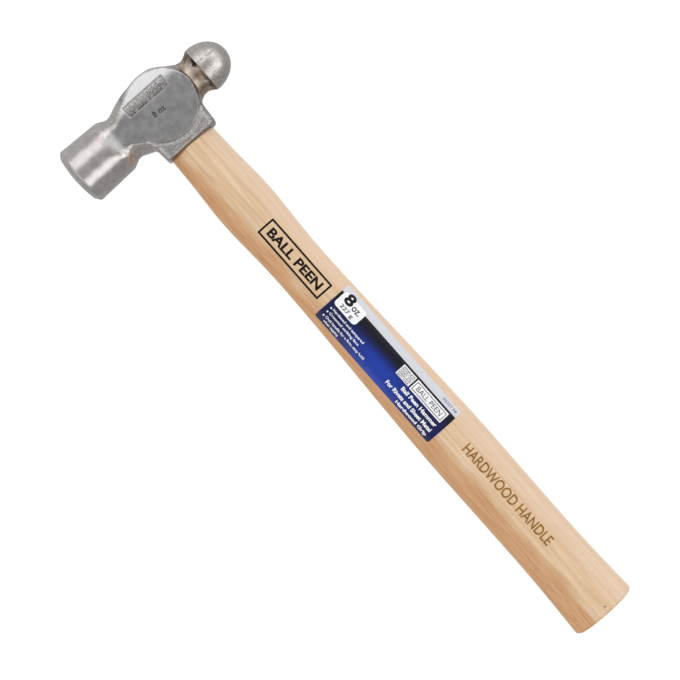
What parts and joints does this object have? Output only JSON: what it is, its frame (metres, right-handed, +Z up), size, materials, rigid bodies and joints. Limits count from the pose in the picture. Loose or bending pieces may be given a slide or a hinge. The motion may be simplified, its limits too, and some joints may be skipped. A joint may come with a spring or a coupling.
{
  "type": "ball peen hammer",
  "caption": "Light ball peen hammer: forged and ground steel head with a crowned striking face and a ball, wedged on an oval hickory handle with a printed label.",
  "frame": {"origin": "middle of the underside of the whole hammer's box, with the hammer lying on its side", "axes": "+X along the handle from head to butt, +Y along the head from the striking face to the ball, +Z up, square to the cheeks"},
  "size_m": [0.2904, 0.0816, 0.0258],
  "materials": {
    "head_steel": "turned bell, belt-ground cheeks, ball and bell neck, as-forged ball neck and skirt",
    "hickory": "clear lacquered hickory",
    "wedge_wood": "bare sanded hardwood",
    "wedge_steel": "sanded mild steel",
    "label_film": "glossy printed film, blue and white"
  },
  "bodies": {
    "root": {"hammer_head": "head_steel", "handle": "hickory", "wooden_wedge": "wedge_wood", "steel_wedge": "wedge_steel", "label": "label_film"}
  },
  "joints": []
}
